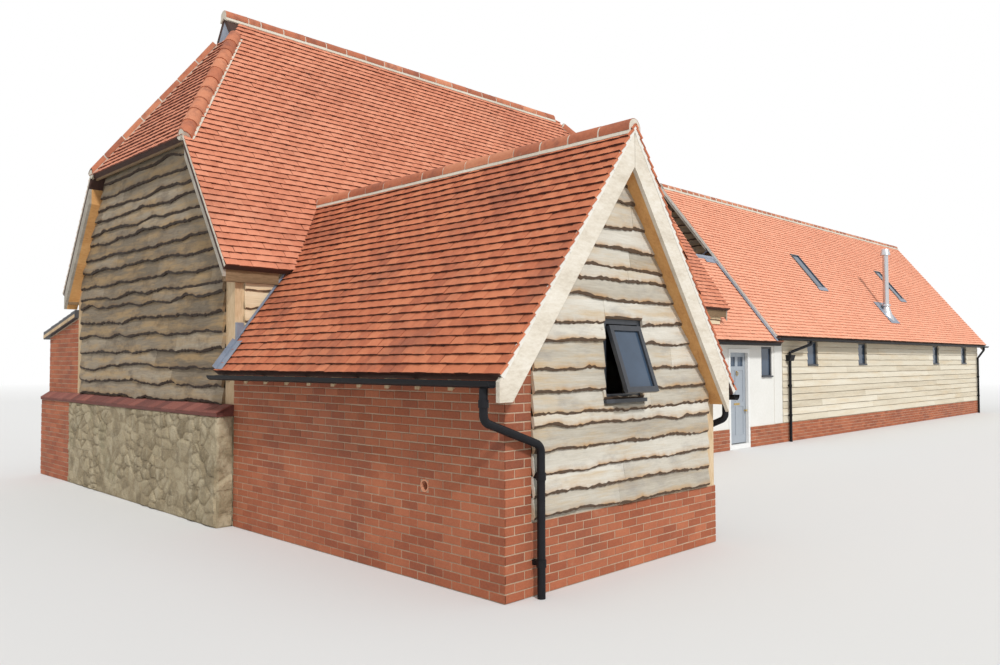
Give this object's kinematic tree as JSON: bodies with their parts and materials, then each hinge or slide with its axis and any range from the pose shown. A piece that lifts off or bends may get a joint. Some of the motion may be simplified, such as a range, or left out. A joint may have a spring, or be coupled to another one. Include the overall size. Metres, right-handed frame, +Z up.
{
  "type": "barn conversion",
  "caption": "Timber barn conversion with tiled half-hipped roof, gabled brick and timber front wing, entrance link with opening door, and long boarded wing.",
  "frame": {"origin": "middle of the barn's near end wall, on its outer face, at ground level", "axes": "+X along the ridge from the near end towards the long wing; +Y to the rear, away from the front wing and the door; +Z up"},
  "size_m": [30.226, 11.5665, 7.266],
  "materials": {
    "clay_tile": "matt fired clay plain tiles, orange to dark red",
    "ridge_clay": "matt fired clay half-round tiles bedded in pale mortar",
    "waney_boards": "rough sawn waney-edged boards, pale fawn, dark at the laps",
    "sawn_boards": "sawn boards, pale fawn",
    "oak": "green oak, sawn and lightly weathered",
    "painted_wall": "white painted boards",
    "brick": "red facing bricks with pale mortar",
    "rubble_stone": "rubble sandstone with wide mortar joints",
    "slate": "dark slates",
    "lead": "dull grey sheet lead",
    "black_rainwater": "black, semi-gloss",
    "dark_frame": "dark grey paint",
    "clear_glass": "clear double glazing",
    "white_paint": "white gloss paint",
    "door_paint": "pale grey satin paint",
    "brass": "polished brass",
    "terracotta": "unglazed clay pipe",
    "flue_steel": "satin stainless steel",
    "concrete": "smooth concrete"
  },
  "bodies": {
    "building": {"barn_front_wall": "waney_boards", "barn_rear_wall": "waney_boards", "barn_roof_front": "clay_tile", "barn_roof_rear": "clay_tile", "brick_plinths": "brick", "clay_duct": "terracotta", "door_frame": "white_paint", "downpipes": "black_rainwater", "eaves_boards": "oak", "end_plinth": "brick", "end_wall": "waney_boards", "far_end_wall": "waney_boards", "floors": "concrete", "flue": "flue_steel", "gable_window_frame": "dark_frame", "gable_window_sash": "dark_frame", "gablet": "oak", "gutters": "black_rainwater", "half_hips": "clay_tile", "hip_tiles": "ridge_clay", "lead_flashings": "lead", "link_rear_wall": "waney_boards", "link_roof_front": "clay_tile", "link_roof_rear": "clay_tile", "link_wall_left": "painted_wall", "link_wall_right": "painted_wall", "long_front_wall": "sawn_boards", "long_gable_walls": "waney_boards", "long_rear_wall": "sawn_boards", "long_roof_front": "clay_tile", "long_roof_rear": "clay_tile", "oak_posts": "oak", "outshot_base": "brick", "outshot_roof": "slate", "outshot_walls": "brick", "plinth_weathering": "brick", "rafter_feet": "oak", "rear_plinths": "brick", "ridge_tiles": "ridge_clay", "rooflights": "dark_frame", "stone_plinth": "rubble_stone", "verge_boards": "oak", "verge_rafters": "oak", "wall_over_door": "painted_wall", "window_frames": "dark_frame", "window_glass": "clear_glass", "wing_bargeboards": "oak", "wing_brick_wall": "brick", "wing_gable_wall": "waney_boards", "wing_plinth": "brick", "wing_right_wall": "waney_boards", "wing_roof_left": "clay_tile", "wing_roof_right": "clay_tile"},
    "door": {"front_door": "door_paint", "door_glass": "clear_glass", "door_furniture": "brass"}
  },
  "joints": [
    {"name": "door_hinge", "type": "hinge", "parent": "building", "child": "door", "pos_m": [11.473, -2.5277, 1.12], "axis": [0, 0, 1], "range_deg": [0, 90]}
  ]
}
